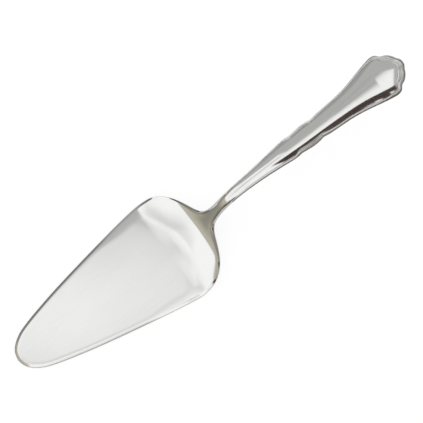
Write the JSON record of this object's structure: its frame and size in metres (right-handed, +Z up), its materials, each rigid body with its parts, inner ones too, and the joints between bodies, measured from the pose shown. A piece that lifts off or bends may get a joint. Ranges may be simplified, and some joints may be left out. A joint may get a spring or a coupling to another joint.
{
  "type": "cake server",
  "caption": "Steel cake server with a broad flat blade, raised neck and hollow handle with a threaded border and scalloped end.",
  "frame": {"origin": "on the blade's flat underside, on its centreline, half way along the flat part", "axes": "+X from the blade's tip toward the handle's end, +Y across the blade, +Z up from the table"},
  "size_m": [0.2368, 0.0568, 0.0423],
  "materials": {
    "satin_steel": "satin blade top with fine grain, brighter neck",
    "polished_steel": "polished",
    "solder": "dull metal",
    "cement": "matt, hidden inside the handle"
  },
  "bodies": {
    "root": {"blade": "satin_steel", "handle_front": "polished_steel", "handle_back": "polished_steel", "seam_solder": "solder", "handle_filler": "cement"}
  },
  "joints": []
}
